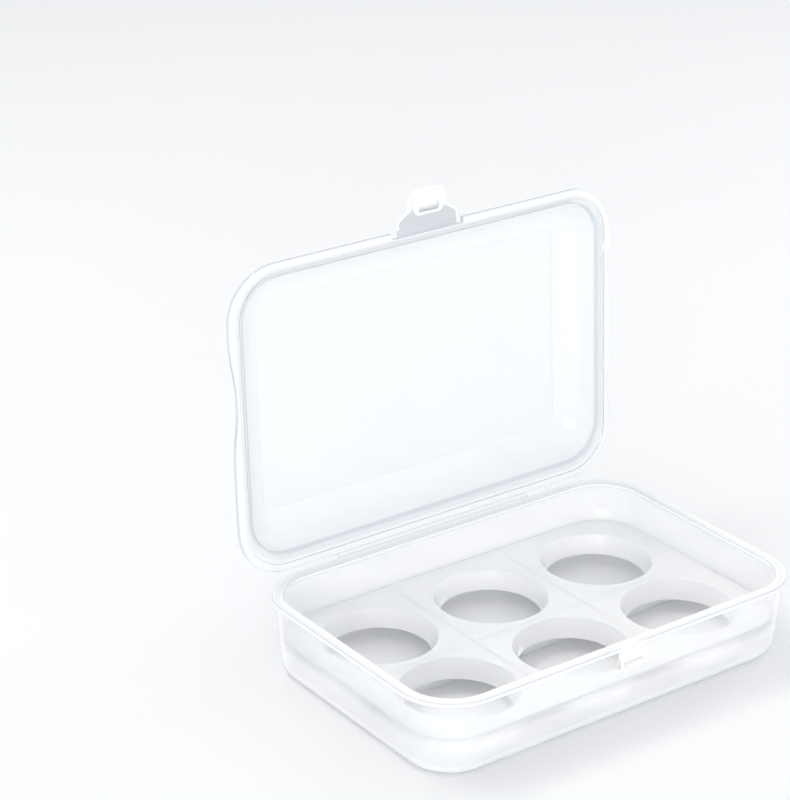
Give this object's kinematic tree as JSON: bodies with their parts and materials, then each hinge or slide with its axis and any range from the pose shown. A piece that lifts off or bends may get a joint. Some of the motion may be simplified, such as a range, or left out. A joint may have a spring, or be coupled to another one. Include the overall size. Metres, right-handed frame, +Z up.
{
  "type": "egg holder",
  "caption": "Clear lidded box with a lift-out plate of round wells that hold eggs upright, a flexible hinge strip along the back and a fold-over front latch.",
  "frame": {"origin": "centre of the tray's flat underside, on the surface it stands on", "axes": "+X to the right along the long side, +Y to the back where the lid is hinged, +Z up"},
  "size_m": [0.1826, 0.1422, 0.171],
  "materials": {
    "clear_plastic": "glossy clear polypropylene, faintly blue",
    "insert_plastic": "glossy clear polypropylene, slightly milky",
    "film_plastic": "thin flexed polypropylene, slightly milky",
    "latch_plastic": "milky white polypropylene where it is thick"
  },
  "bodies": {
    "tray_body": {"base_tray": "clear_plastic", "lid_hinge_film": "film_plastic"},
    "grid_body": {"egg_grid": "insert_plastic"},
    "lid_body": {"lid": "clear_plastic", "latch_film": "film_plastic"},
    "latch_body": {"front_latch": "latch_plastic"}
  },
  "joints": [
    {"name": "lid_hinge", "type": "hinge", "parent": "tray_body", "child": "lid_body", "pos_m": [0, 0.0612, 0.03265], "axis": [-1, 0, 0], "range_deg": [-93, 87], "deforming": ["lid_hinge_film"]},
    {"name": "latch_hinge", "type": "hinge", "parent": "lid_body", "child": "latch_body", "pos_m": [0, 0.06777, 0.15512], "axis": [1, 0, 0], "range_deg": [0, 90], "deforming": ["latch_film"]},
    {"name": "grid_lift", "type": "slide", "parent": "tray_body", "child": "grid_body", "axis": [0, 0, 1], "range_m": [0, 0.016]}
  ]
}
